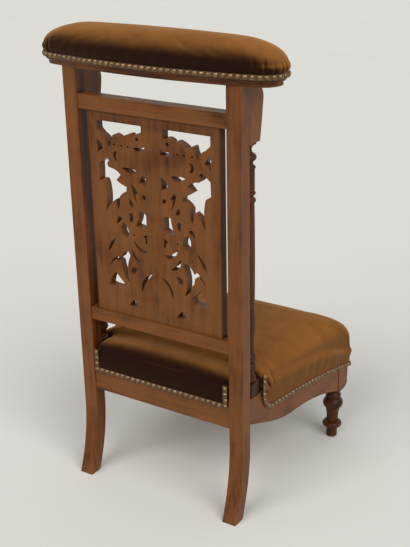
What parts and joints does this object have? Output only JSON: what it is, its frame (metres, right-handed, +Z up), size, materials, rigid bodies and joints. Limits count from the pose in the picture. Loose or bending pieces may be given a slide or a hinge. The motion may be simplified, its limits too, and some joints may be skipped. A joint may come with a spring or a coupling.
{
  "type": "prie-dieu",
  "caption": "Low upholstered kneeling seat with a tall raked back, pierced scrollwork panel, turned side columns and a padded armrest board on top.",
  "frame": {"origin": "centre of the object's box on the floor, under its feet", "axes": "+Z up; -Y is the front, where the kneeler's seat reaches; +X is the right as seen from the front"},
  "size_m": [0.5078, 0.4761, 0.927],
  "materials": {
    "walnut": "worn shellac over orange-brown stained walnut",
    "pale_wood": "raw, sawn",
    "steel": "dull steel",
    "spring_steel": "coppered steel wire gone dull",
    "jute": "woven jute webbing",
    "hessian": "open plain weave",
    "stuffing": "horsehair under wadding",
    "velvet": "caramel-brown velvet with a short worn nap",
    "gimp": "woven gimp braid",
    "nail_brass": "antiqued brass"
  },
  "bodies": {
    "root": {"back_post_left": "walnut", "back_post_right": "walnut", "upper_back_rail": "walnut", "lower_back_rail": "walnut", "seat_back_rail": "walnut", "seat_side_rail_left": "walnut", "seat_side_rail_right": "walnut", "seat_front_rail": "walnut", "front_leg_left": "walnut", "front_leg_right": "walnut", "column_left": "walnut", "column_right": "walnut", "armrest_bracket_left": "walnut", "armrest_bracket_right": "walnut", "armrest_board": "walnut", "fretwork_panel": "walnut", "corner_blocks": "pale_wood", "corner_screws": "steel", "seat_springs": "spring_steel", "seat_webbing": "jute", "seat_hessian": "hessian", "seat_stuffing": "stuffing", "armrest_stuffing": "stuffing", "seat_cover": "velvet", "armrest_cover": "velvet", "seat_gimp": "gimp", "armrest_gimp": "gimp", "seat_nails": "nail_brass", "armrest_nails": "nail_brass"}
  },
  "joints": []
}
